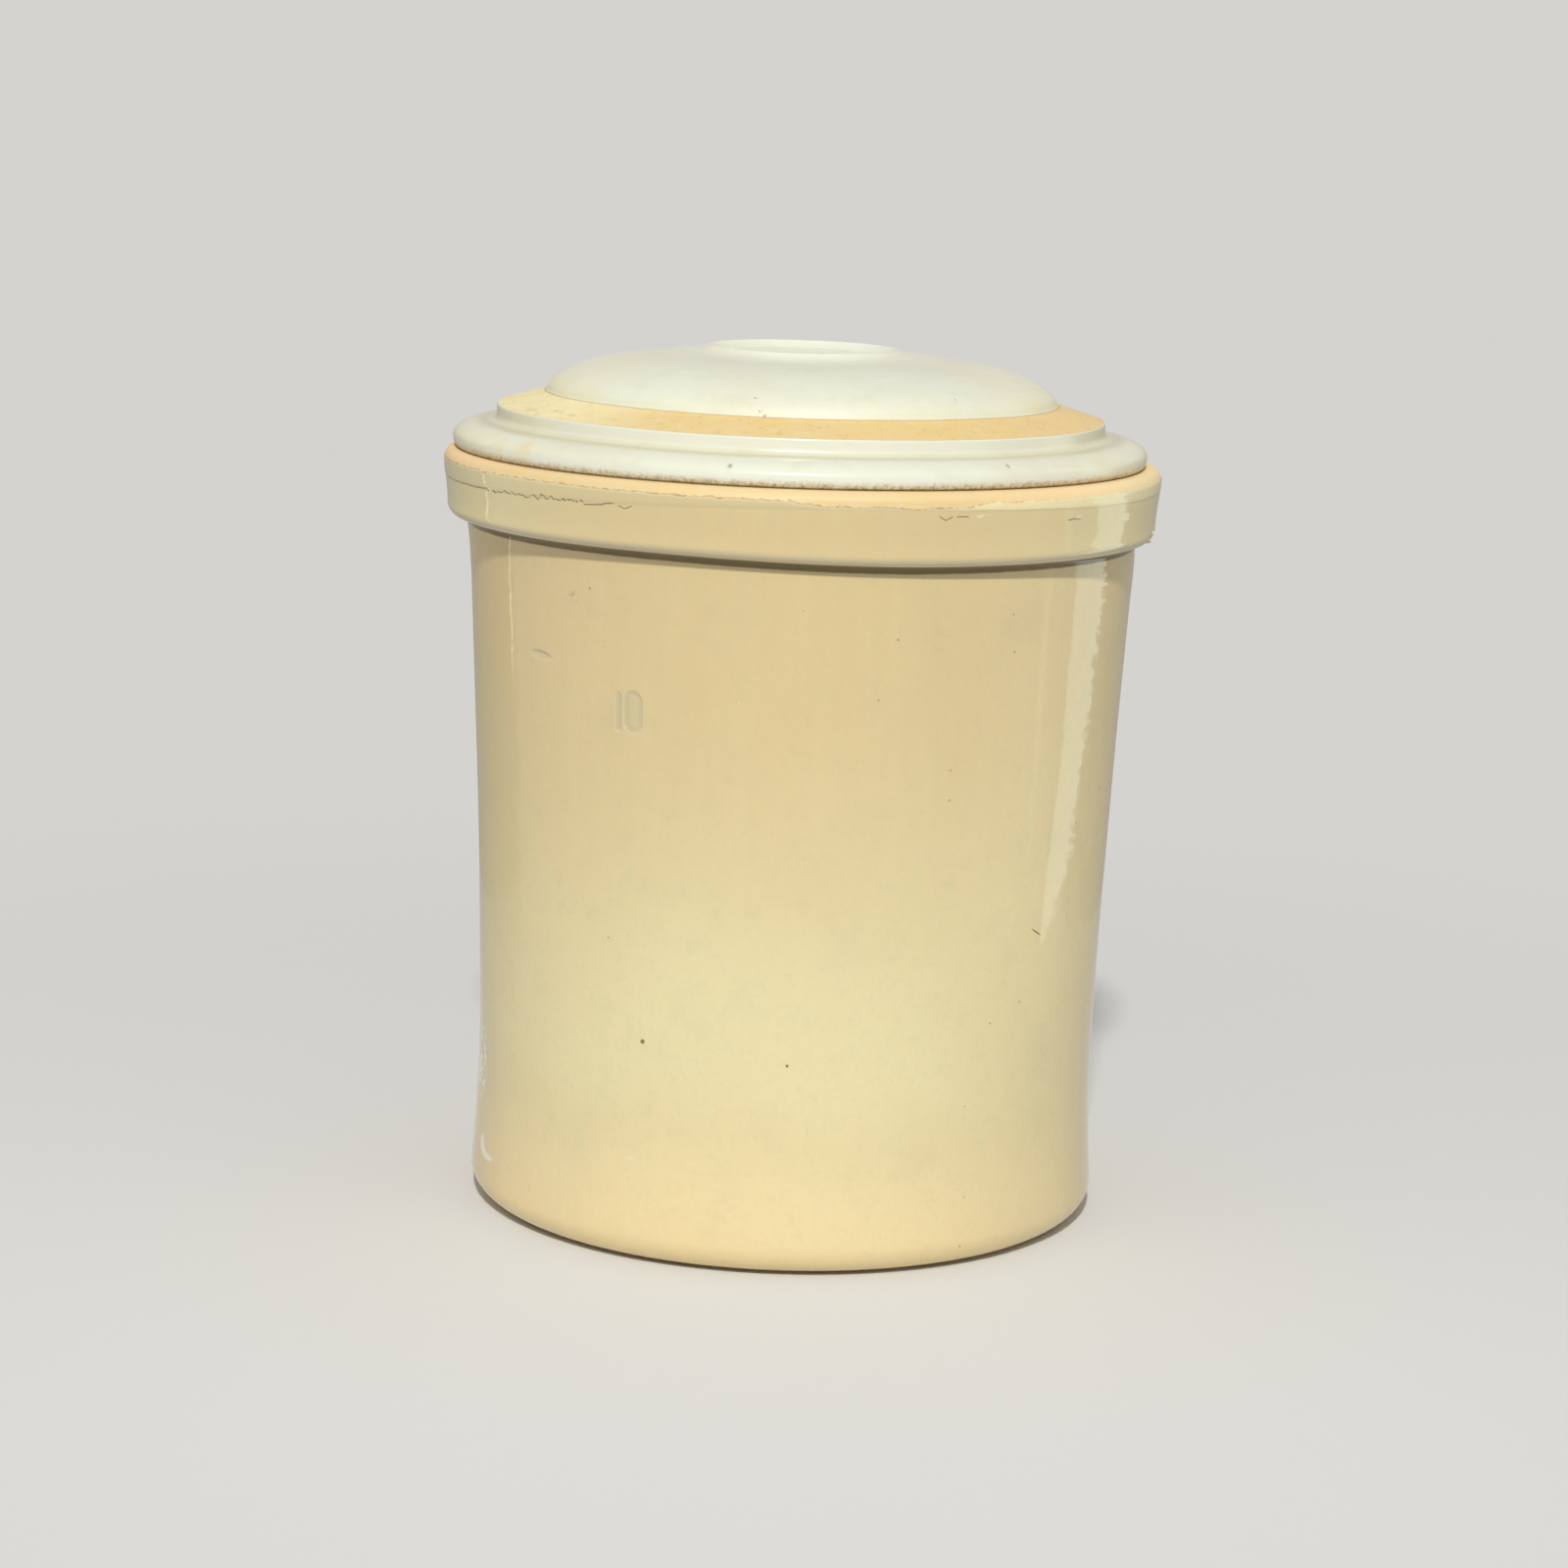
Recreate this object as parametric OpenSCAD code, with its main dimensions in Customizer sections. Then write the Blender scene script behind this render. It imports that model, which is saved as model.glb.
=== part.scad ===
// Water seal pickle jar in stoneware, in millimetres: a tall crock with a water
// channel round its mouth, a stepped and domed lid whose skirt hangs in that
// channel, and two half moon weights that lie on the floor inside.
// Every piece is turned about Z. The origin is the middle of the base.

/* [Crock body] */
// Height from the base to the top of the collar
crock_h = 436; // [340:1:540]
// Outer radius at the waist, the narrowest part of the body
waist_r = 179.5; // [150:0.5:210]
// Height of the waist above the base
waist_z = 95; // [70:1:130]
// How much wider the body is at its foot than at the waist
foot_flare = 3; // [0:0.5:8]
// How much wider the body is under the collar than at the waist
shoulder_flare = 11.5; // [6:0.5:18]
// How late the body widens towards the collar, where 1 is a straight cone
flare_power = 1.3; // [1:0.05:2]
// Thickness of the body's wall
wall_t = 12.5; // [9:0.5:16]
// Thickness of the floor
floor_t = 16; // [12:0.5:24]
// Radius of the rounded foot outside
foot_round = 20; // [10:1:26]
// Radius of the fillet between the floor and the wall inside
floor_fillet = 16; // [8:1:22]
// Height of the bare edge that the crock stands on
foot_edge_h = 3; // [1:0.5:5]
// How far the bare edge is set in from the rounded foot
foot_edge_in = 1; // [0.5:0.5:4]

/* [Collar, channel and neck] */
// Height of the collar's outer face
collar_h = 38.5; // [34:0.5:56]
// How far the top of the collar stands out from the body under it
collar_out = 14; // [9:0.5:20]
// How much the collar's face widens evenly from its bottom to its top
collar_taper = 1.3; // [0:0.1:3]
// How much further the rolled bead at the collar's top stands out
collar_bead = 1.7; // [0:0.1:3]
// Thickness of the collar's wall beside the channel
collar_t = 15; // [13:0.5:20]
// Radius of the collar's outer edges
collar_round = 6; // [2:0.5:7]
// Radius of the fillet where the collar overhangs the body
collar_fillet = 3; // [1:0.5:5]
// Radius of the land's inner edge, beside the channel
land_round = 2; // [1:0.5:3]
// Thickness of the clay under the channel
channel_floor_t = 12.5; // [9:0.5:16]
// Radius of the fillets along the channel's floor
channel_fillet = 4; // [2:0.5:6]
// Thickness of the neck between the channel and the mouth
neck_t = 10; // [8:0.5:14]
// How far the neck stands above the collar, so that water spills outwards
neck_rise = 4; // [0:0.5:8]
// Radius of the neck's top edges
neck_round = 4.5; // [1:0.5:6]
// Height of the curve inside, from the body's wall in to the neck
shoulder_h = 26; // [18:1:40]

/* [Lid] */
// Thickness of the lid's dome and bare ring
lid_t = 10; // [7:0.5:13]
// Thickness of the skirt that hangs in the channel
skirt_t = 10; // [7:0.5:14]
// Play between the skirt and each wall of the channel
skirt_play = 5; // [3:0.5:8]
// Height of the water space under the skirt
skirt_gap = 7; // [4:0.5:10]
// Radius of the skirt's lower edges
skirt_round = 3; // [1:0.5:3.5]
// Radius of the hollow where the skirt meets the lid's ceiling
ceiling_fillet = 8; // [3:0.5:10]
// Width of the ring on which the flange sits on the collar
seat_w = 3.5; // [2:0.5:5]
// How far the flange's rounded edge stands out beyond its seat
flange_edge = 3; // [1:0.5:4]
// Height of the flange's widest line above the seat
flange_low = 6.5; // [4:0.5:9]
// Height of the flange's top above the seat
flange_h = 15.5; // [12:0.5:20]
// Width from the flange's edge in to the step
flange_w = 24.5; // [18:0.5:30]
// Radius of the cove at the foot of the step
cove_r = 4; // [2:0.5:6]
// Height of the step from the flange up to the bare ring
step_h = 9.3; // [7:0.1:14]
// Radius of the step's upper edge
step_round = 1.2; // [0.5:0.1:2]
// Width of the bare ring
ring_w = 28; // [20:0.5:36]
// How much the bare ring climbs towards the dome
ring_rise = 8.2; // [4:0.1:12]
// Height of the dome above the bare ring
dome_h = 25; // [16:0.5:40]
// Radius of the flat middle that the dome's curve runs into
dome_flat_r = 50; // [30:1:56]
// Radius of the foot of the low crown ring on top of the dome
crown_r = 60; // [57:0.5:80]
// Height of the crown ring above the dome
crown_h = 3.3; // [2:0.1:6]
// Width of the crown ring from its foot to the edge of the recess
crown_w = 11; // [8:0.5:16]
// Radius of the crown ring's rim
crown_round = 1.8; // [1:0.1:2.5]
// Depth of the recess inside the crown ring
recess_d = 4.3; // [2:0.1:6]

/* [Weights] */
// Thickness of each weight
weight_h = 26; // [16:1:40]
// Play between the pair of weights and the narrowest round that they pass
weight_play = 5; // [3:0.5:12]
// Gap between the straight edges of the pair
weight_split = 8; // [4:0.5:14]
// Radius of the finger hole that the pair forms in the middle
finger_r = 19; // [14:0.5:30]
// Radius of the weights' outer edges
weight_round = 4; // [1:0.5:6]
// Radius of the corners at the ends of the straight edges
weight_corner = 12; // [6:0.5:20]

/* [Hidden] */
$fn = 96;

buff_glaze = [0.87, 0.78, 0.58];
white_glaze = [0.91, 0.92, 0.82];
bare_clay = [0.80, 0.66, 0.48];

// Steps in a small edge, in a large curve and in the body's long outline
edge_steps = 4;
curve_steps = 10;
body_steps = 12;

collar_z = crock_h - collar_h;
collar_r = waist_r + shoulder_flare + collar_out;
collar_low_r = collar_r - collar_taper - collar_bead;
foot_z = foot_edge_h + foot_round;

channel_out_r = collar_r - collar_t;
channel_in_r = channel_out_r - skirt_t - 2 * skirt_play;
channel_z = collar_z + channel_floor_t;
mouth_r = channel_in_r - neck_t;
neck_z = crock_h + neck_rise;

skirt_out_r = channel_out_r - skirt_play;
skirt_in_r = skirt_out_r - skirt_t;
seat_r = channel_out_r + land_round + seat_w;
flange_r = seat_r + flange_edge;
ring_out_r = flange_r - flange_w;
ring_in_r = ring_out_r - ring_w;
flange_z = crock_h + flange_h;
ring_out_z = flange_z + step_h;
ring_in_z = ring_out_z + ring_rise;
dome_z = ring_in_z + dome_h;

// Points of an arc about c, from angle a0 to a1, with radius rx across and ry up
function arc(c, rx, ry, a0, a1, n) =
    [for (i = [0:n]) let (a = a0 + (a1 - a0) * i / n) c + [rx * cos(a), ry * sin(a)]];
// Points of an arc with one radius
function round_arc(c, r, a0, a1, n = edge_steps) = arc(c, r, r, a0, a1, n);

// Outer radius of the body at a height: it flares to the foot and to the collar
function body_r(z) = z < waist_z
    ? waist_r + foot_flare * pow((waist_z - z) / (waist_z - foot_z), 2)
    : waist_r + shoulder_flare * pow((z - waist_z) / (collar_z - waist_z), flare_power);
// Inner radius of the body at a height
function inner_r(z) = body_r(z) - wall_t;
// Radius of the collar's face, where t runs from 0 at its bottom to 1 at its top
function collar_face_r(t) = collar_low_r + collar_taper * t + collar_bead * pow(t, 4);
// Height of the lid's ceiling under the bare ring, level with the ring's slope
function ceiling_z(r) = ring_out_z - lid_t + (ring_out_r - r) * ring_rise / ring_w;

// The rounded foot and the body's outside, up to the fillet under the collar
overhang = collar_low_r - body_r(collar_z);
under_fillet = min(collar_fillet, overhang / 3);
low_round = min(collar_round, overhang * 0.55);
under_z = collar_z - under_fillet;
foot_c = [body_r(foot_z) - foot_round, foot_z];
outside = concat(
    [[0, 0], [foot_c.x - foot_edge_in, 0], [foot_c.x - foot_edge_in, foot_edge_h]],
    round_arc(foot_c, foot_round, -90, 0, curve_steps),
    [for (i = [1:body_steps]) let (z = foot_z + (under_z - foot_z) * i / body_steps)
        [body_r(z), z]]);

// The collar, from the fillet under it to the flat land that carries the lid
face_low_z = collar_z + low_round;
face_top_z = crock_h - collar_round;
collar = concat(
    round_arc([body_r(under_z) + under_fillet, under_z], under_fillet, 180, 90),
    round_arc([collar_low_r - low_round, face_low_z], low_round, -90, 0),
    [for (i = [1:curve_steps - 1]) let (t = i / curve_steps)
        [collar_face_r(t), face_low_z + (face_top_z - face_low_z) * t]],
    round_arc([collar_r - collar_round, face_top_z], collar_round, 0, 90));

// The water channel and the neck
neck_edge = min(neck_round, neck_t / 2 - 0.25);
channel = concat(
    round_arc([channel_out_r + land_round, crock_h - land_round], land_round, 90, 180),
    round_arc([channel_out_r - channel_fillet, channel_z + channel_fillet],
        channel_fillet, 0, -90),
    round_arc([channel_in_r + channel_fillet, channel_z + channel_fillet],
        channel_fillet, 270, 180),
    round_arc([channel_in_r - neck_edge, neck_z - neck_edge], neck_edge, 0, 90),
    round_arc([mouth_r + neck_edge, neck_z - neck_edge], neck_edge, 90, 180));

// The inside: an S curve from the neck out to the wall, then down to the floor
s_top_z = channel_z - channel_floor_t;
s_low_z = s_top_z - shoulder_h;
s_step = inner_r(s_low_z) - mouth_r;
s_angle = 2 * atan(s_step / shoulder_h);
s_r = shoulder_h / (2 * sin(s_angle));
fillet_c = [inner_r(floor_t + floor_fillet) - floor_fillet, floor_t + floor_fillet];
inside = concat(
    round_arc([mouth_r + s_r, s_top_z], s_r, 180, 180 + s_angle),
    round_arc([inner_r(s_low_z) - s_r, s_low_z], s_r, s_angle, 0),
    [for (i = [1:body_steps]) let (z = s_low_z + (fillet_c.y - s_low_z) * i / body_steps)
        [inner_r(z), z]],
    round_arc(fillet_c, floor_fillet, 0, -90, curve_steps),
    [[0, floor_t]]);

module crock() {
    color(buff_glaze)
        rotate_extrude() polygon(concat(outside, collar, channel, inside));
}

// Under the lid: the hollow dome, the ceiling and the skirt, out to the seat
skirt_z = channel_z + skirt_gap;
ceiling_c = [skirt_in_r - ceiling_fillet, ceiling_z(skirt_in_r - ceiling_fillet) - ceiling_fillet];
underside = concat(
    [[0, dome_z - lid_t]],
    arc([dome_flat_r, ring_in_z - lid_t], ring_in_r - lid_t - dome_flat_r, dome_h,
        90, 0, curve_steps),
    round_arc(ceiling_c, ceiling_fillet, 90, 0),
    round_arc([skirt_in_r + skirt_round, skirt_z + skirt_round], skirt_round, 180, 270),
    round_arc([skirt_out_r - skirt_round, skirt_z + skirt_round], skirt_round, -90, 0),
    [[skirt_out_r, crock_h]]);

// Above: the rolled flange, the cove and step, the bare ring and the dome
flange = concat(
    arc([seat_r, crock_h + flange_low], flange_edge, flange_low, -90, 0, edge_steps),
    arc([ring_out_r + cove_r, crock_h + flange_low], flange_w - cove_r,
        flange_h - flange_low, 0, 90, curve_steps),
    round_arc([ring_out_r + cove_r, flange_z + cove_r], cove_r, 270, 180),
    round_arc([ring_out_r - step_round, ring_out_z - step_round], step_round, 0, 75));
dome_w = ring_in_r - dome_flat_r;
dome_end = acos((crown_r - dome_flat_r) / dome_w);
dome = arc([dome_flat_r, ring_in_z], dome_w, dome_h, 0, dome_end, curve_steps);

// The crown ring on top and the shallow recess inside it
crown_z = dome_z + crown_h;
crown_c = [crown_r - crown_w / 2, crown_z - crown_round];
recess_z = crown_z - recess_d;
crown = concat(
    round_arc(crown_c, crown_round, 50, 130),
    [[crown_r - crown_w, recess_z], [0, recess_z]]);

module lid() {
    color(white_glaze)
        rotate_extrude() polygon(concat(underside, flange, dome, crown));
}

// The weights lie inside the floor's fillet and also pass through the mouth
weight_r = min(fillet_c.x, mouth_r) - weight_play;
corner_x = weight_split / 2 + weight_corner;
corner_y = sqrt(pow(weight_r - weight_corner, 2) - pow(corner_x, 2));
corner_end = weight_r / (weight_r - weight_corner) * [corner_x, corner_y];

// Round slab with its outer edges rounded, from which both weights are cut
module weight_slab() {
    rotate_extrude() polygon(concat(
        [[0, 0]],
        round_arc([weight_r - weight_round, weight_round], weight_round, -90, 0),
        round_arc([weight_r - weight_round, weight_h - weight_round], weight_round, 0, 90),
        [[0, weight_h]]));
}

// What is cut away outside the rounded corner at one end of a straight edge
module weight_corner_cut() {
    linear_extrude(weight_h + 2) difference() {
        polygon([[0, corner_y], [corner_x, corner_y], corner_end,
            [corner_end.x, weight_r + 1], [0, weight_r + 1]]);
        translate([corner_x, corner_y]) circle(weight_corner);
    }
}

// The half that lies on the side of +X
module half_weight() {
    translate([0, 0, floor_t]) difference() {
        weight_slab();
        translate([-weight_r - 1, -weight_r - 1, -1])
            cube([weight_r + 1 + weight_split / 2, 2 * weight_r + 2, weight_h + 2]);
        translate([0, 0, -1]) cylinder(h = weight_h + 2, r = finger_r);
        translate([0, 0, -1]) weight_corner_cut();
        mirror([0, 1, 0]) translate([0, 0, -1]) weight_corner_cut();
    }
}

module weight_right() {
    color(bare_clay) half_weight();
}

module weight_left() {
    color(bare_clay) mirror([1, 0, 0]) half_weight();
}

crock();
lid();
weight_left();
weight_right();
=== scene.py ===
import math
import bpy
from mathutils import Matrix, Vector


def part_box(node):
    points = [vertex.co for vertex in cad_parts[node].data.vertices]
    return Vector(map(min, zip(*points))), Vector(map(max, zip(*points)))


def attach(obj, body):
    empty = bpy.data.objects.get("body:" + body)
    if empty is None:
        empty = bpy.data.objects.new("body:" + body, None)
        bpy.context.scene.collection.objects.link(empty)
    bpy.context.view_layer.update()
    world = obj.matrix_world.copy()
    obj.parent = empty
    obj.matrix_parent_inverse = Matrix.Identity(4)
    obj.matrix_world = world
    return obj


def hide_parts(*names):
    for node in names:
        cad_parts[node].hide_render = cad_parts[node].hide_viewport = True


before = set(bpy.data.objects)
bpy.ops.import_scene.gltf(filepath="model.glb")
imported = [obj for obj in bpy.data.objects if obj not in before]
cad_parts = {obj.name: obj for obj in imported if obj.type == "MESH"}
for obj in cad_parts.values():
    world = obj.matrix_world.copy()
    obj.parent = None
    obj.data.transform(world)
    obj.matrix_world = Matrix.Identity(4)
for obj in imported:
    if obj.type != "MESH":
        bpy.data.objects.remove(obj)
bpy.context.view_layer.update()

import types

import bmesh
import bpy
from bpy.props import FloatProperty, FloatVectorProperty, PointerProperty
from mathutils import Matrix, Vector, noise

bl_info = {
    "name": "Water seal pickle jar",
    "version": (1, 0, 0),
    "blender": (4, 5, 0),
    "location": "View3D > Sidebar > Pickle jar",
    "description": "Builds a stoneware pickle jar with a water seal lid and two weights",
    "category": "Object",
}

CROCK_LOW, CROCK_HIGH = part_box("crock")
LID_LOW, LID_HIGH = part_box("lid")
WEIGHT_LOW, WEIGHT_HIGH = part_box("weight_right")
MM = 0.001


def size(name, description, millimetres):
    """A length that the sidebar shows."""
    return FloatProperty(name=name, description=description, default=millimetres * MM,
                         min=0.0, subtype="DISTANCE", unit="LENGTH", precision=4)


def colour(name, description, default):
    """A colour as it looks on a screen, from 0 to 255 a channel."""
    return FloatVectorProperty(name=name, description=description, size=3, min=0.0, max=1.0,
                               default=[c / 255 for c in default], subtype="COLOR_GAMMA")


class CrockSizes(bpy.types.PropertyGroup):
    """Sizes of the crock, with its collar, channel and neck."""

    collar_r: size("Collar radius", "Outer radius of the collar's top", CROCK_HIGH.x / MM)
    neck_z: size("Neck height", "Height of the neck's top", CROCK_HIGH.z / MM)
    neck_rise: size("Neck rise", "How far the neck stands above the collar", 4)
    waist_r: size("Waist radius", "Radius of the body's narrowest part", 179.5)
    waist_z: size("Waist height", "Height of the body's narrowest part", 95)
    foot_flare: size("Foot flare", "How much wider the body is at its foot", 3)
    shoulder_flare: size("Shoulder flare", "How much wider the body is under the collar", 12.3)
    flare_power: FloatProperty(name="Flare power", default=1.45, min=1.0,
                               description="How late the body widens towards the collar")
    wall: size("Wall", "Thickness of the body's wall", 12.5)
    floor: size("Floor", "Thickness of the floor", 16)
    floor_fillet: size("Floor fillet", "Radius where the floor meets the wall inside", 16)
    foot_round: size("Foot round", "Radius of the rounded foot", 16)
    foot_edge_h: size("Foot edge height", "Height of the bare edge that the crock stands on", 1.5)
    foot_edge_in: size("Foot edge inset", "How far the bare edge is set in", 0.5)
    collar_h: size("Collar height", "Height of the collar", 38.5)
    collar_taper: size("Collar taper", "How much the collar's face widens evenly", 0.9)
    collar_bead: size("Collar bead", "How much further the collar's top stands out", 1.3)
    collar_wall: size("Collar wall", "Thickness of the collar beside the channel", 15)
    collar_round: size("Collar round", "Radius of the collar's outer edges", 6)
    collar_fillet: size("Collar fillet", "Radius where the collar overhangs the body", 3)
    land_round: size("Land round", "Radius of the land's inner edge", 2)
    channel_floor: size("Channel floor", "Thickness of the clay under the channel", 12.5)
    channel_fillet: size("Channel fillet", "Radius of the channel's lower corners", 4)
    channel_w: size("Channel width", "Width of the water channel", 20)
    neck: size("Neck", "Thickness of the neck", 10)
    neck_round: size("Neck round", "Radius of the neck's top edges", 4.5)
    shoulder_h: size("Shoulder height", "Height of the curve inside up to the neck", 26)
    glaze: size("Glaze", "Thickness of the glaze over the bare clay", 0.3)
    bare_z: size("Bare line", "Height of the line where the collar's glaze ends", 430.8)
    bare_dip: size("Bare dip", "How far that line dips down to the fold in front", 2.6)
    fold_z: size("Fold line", "Mean height of the wandering fold in the collar's glaze", 422.7)
    fold_lean: size("Fold lean", "How far the fold climbs towards the right", 1.95)
    fold_hump: size("Fold hump", "How much higher the fold is in front", 4.2)
    droop: size("Droop", "How much lower the collar's lower edge hangs on the right", 2.4)
    aside: size("Aside", "How far to the left of the body the collar was thrown", 1.2)


class LidSizes(bpy.types.PropertyGroup):
    """Sizes of the lid, with its skirt, flange, bare ring, dome and crown."""

    seat_r: size("Seat radius", "Outer radius of the flat face that the lid sits on", 195.5)
    seat_z: size("Seat height", "Height of the land that the lid sits on", 436)
    wall: size("Wall", "Thickness of the dome and ring", 10)
    skirt: size("Skirt", "Thickness of the skirt in the channel", 10)
    skirt_r: size("Skirt radius", "Outer radius of the skirt", 185)
    skirt_round: size("Skirt round", "Radius of the skirt's lower edges", 3)
    ceiling_fillet: size("Ceiling fillet", "Radius where the skirt meets the ceiling", 8)
    flange_edge: size("Flange edge", "How far the flange stands out beyond its seat", 3)
    flange_low: size("Flange middle", "Height of the flange's widest line above its seat", 6.5)
    flange_h: size("Flange height", "Height of the flange's top above its seat", 15.5)
    flange_w: size("Flange width", "Width from the flange's edge in to the step", 24.5)
    cove: size("Cove", "Radius of the cove at the foot of the step", 4)
    step_h: size("Step height", "Height of the step up to the bare ring", 9.3)
    step_round: size("Step round", "Radius of the step's upper edge", 1.2)
    ring_w: size("Ring width", "Width of the bare ring", 28)
    ring_rise: size("Ring rise", "How much the bare ring climbs", 8.2)
    dome_h: size("Dome height", "Height of the dome above the ring", 25)
    dome_flat_r: size("Dome flat radius", "Radius of the middle that the curve runs into", 50)
    crown_r: size("Crown radius", "Radius of the foot of the crown ring", 60)
    crown_h: size("Crown height", "Height of the crown ring above the dome", 3.3)
    crown_w: size("Crown width", "Width of the crown ring", 11)
    crown_round: size("Crown round", "Radius of the crown ring's rim", 1.8)
    recess: size("Recess", "Depth of the recess inside the crown ring", 4.3)
    aside: size("Aside", "How far to the left of the crock's axis the lid lies", 3.1)


class WeightSizes(bpy.types.PropertyGroup):
    """Sizes of the pair of half moon weights."""

    split: size("Split", "Gap between the straight edges", 8)
    finger_r: size("Finger hole radius", "Radius of the hole that the pair forms", 19)
    edge_round: size("Edge round", "Radius of the outer edges", 4)
    corner: size("Corner", "Radius of the corners of the straight edges", 12)
    slice: size("Slice", "Distance between the cuts that give the clay room to undulate", 7.3)


class JarColours(bpy.types.PropertyGroup):
    """Colours of the glazes and of the bare clay."""

    buff: colour("Buff glaze", "The crock's glaze at the top", (222, 200, 149))
    green: colour("Greenish glaze", "The crock's glaze half way down and on the collar", (225, 207, 157))
    cream: colour("Creamy glaze", "The crock's glaze in its paler lower half", (232, 219, 170))
    peach: colour("Peach glaze", "The crock's glaze at the foot", (235, 212, 161))
    # Painted sheen: this colour is used only for the band that stands in for the reflection on the
    # collar's lower rounding.
    ash: colour("Ash", "Greyer glaze where the collar turns under", (203, 192, 168))
    hollow: colour("Hollow", "Thick glaze in dents and stamps", (198, 190, 154))
    bare_rim: colour("Bare rim", "The peach clay on top of the collar", (234, 208, 157))
    blush: colour("Blush", "Where the kiln turned the bare clay orange", (252, 217, 162))
    bare_ring: colour("Bare ring", "The buff clay ring on the lid", (237, 206, 138))
    clay: colour("Clay", "Bare clay underneath and on the weights", (206, 180, 140))
    white: colour("White glaze", "The lid's glaze", (231, 234, 213))
    white_warm: colour("Warm white glaze", "Where the lid's glaze is thin", (230, 229, 204))
    # Also painted sheen: this colour pales the left end of the lid's bare ring.
    pool: colour("Pooled glaze", "Where glaze ran together in the strip on the collar", (252, 239, 188))
    # Also painted highlight: this colour paints the pale bands on the lid's flange roll and step edge.
    pale: colour("Pale glaze", "Where the lid's glaze lies thick on the edges", (244, 245, 230))
    # Also painted shade: this colour darkens the crock's lower flanks.
    toast: colour("Toast", "Glaze that broke brown over an edge", (186, 150, 98))
    # Also painted shade: this colour paints the dark band under the collar, the contact line under the
    # lid's flange and the line over the foot's bare edge.
    iron: colour("Iron", "Specks and lines where iron shows", (102, 83, 38))
    ground: colour("Floor", "The studio floor", (228, 228, 226))


GROUPS = {"jar_crock": CrockSizes, "jar_lid": LidSizes,
          "jar_weights": WeightSizes, "jar_colours": JarColours}


def values(name):
    return getattr(bpy.context.scene, name)


# Outlines: points (radius, height) that a piece is turned from

def arc(centre, rx, ry, start, end, steps):
    """Points of an arc about a centre, from one angle in degrees to another."""
    turns = [math.radians(start + (end - start) * i / steps) for i in range(steps + 1)]
    return [(centre[0] + rx * math.cos(a), centre[1] + ry * math.sin(a)) for a in turns]


def between(start, end, steps):
    """Evenly spaced points between two points, with neither of the ends."""
    return [(start[0] + (end[0] - start[0]) * i / steps, start[1] + (end[1] - start[1]) * i / steps)
            for i in range(1, steps)]


def joined(*stretches, longest):
    """All stretches in a row, with points added wherever two are further apart than longest."""
    points = [p for stretch in stretches for p in stretch]
    made = points[:1]
    for p in points[1:]:
        gap = math.dist(made[-1], p)
        if gap > 1e-7:
            made += between(made[-1], p, math.ceil(gap / longest)) + [p]
    return made


def collar_low(s):
    """Height of the collar's lower edge."""
    return s.neck_z - s.neck_rise - s.collar_h


def body_r(s, z):
    """Outer radius of the crock's body at a height."""
    if z < s.waist_z:
        foot_z = s.foot_edge_h + s.foot_round
        return s.waist_r + s.foot_flare * ((s.waist_z - z) / (s.waist_z - foot_z)) ** 2
    rise = (z - s.waist_z) / (collar_low(s) - s.waist_z)
    return s.waist_r + s.shoulder_flare * rise ** s.flare_power


def wall_points(s, top, bottom, inset, steps):
    """Points down or up the body's wall, without the first."""
    heights = [top + (bottom - top) * i / steps for i in range(1, steps + 1)]
    return [(body_r(s, z) - inset, z) for z in heights]


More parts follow.
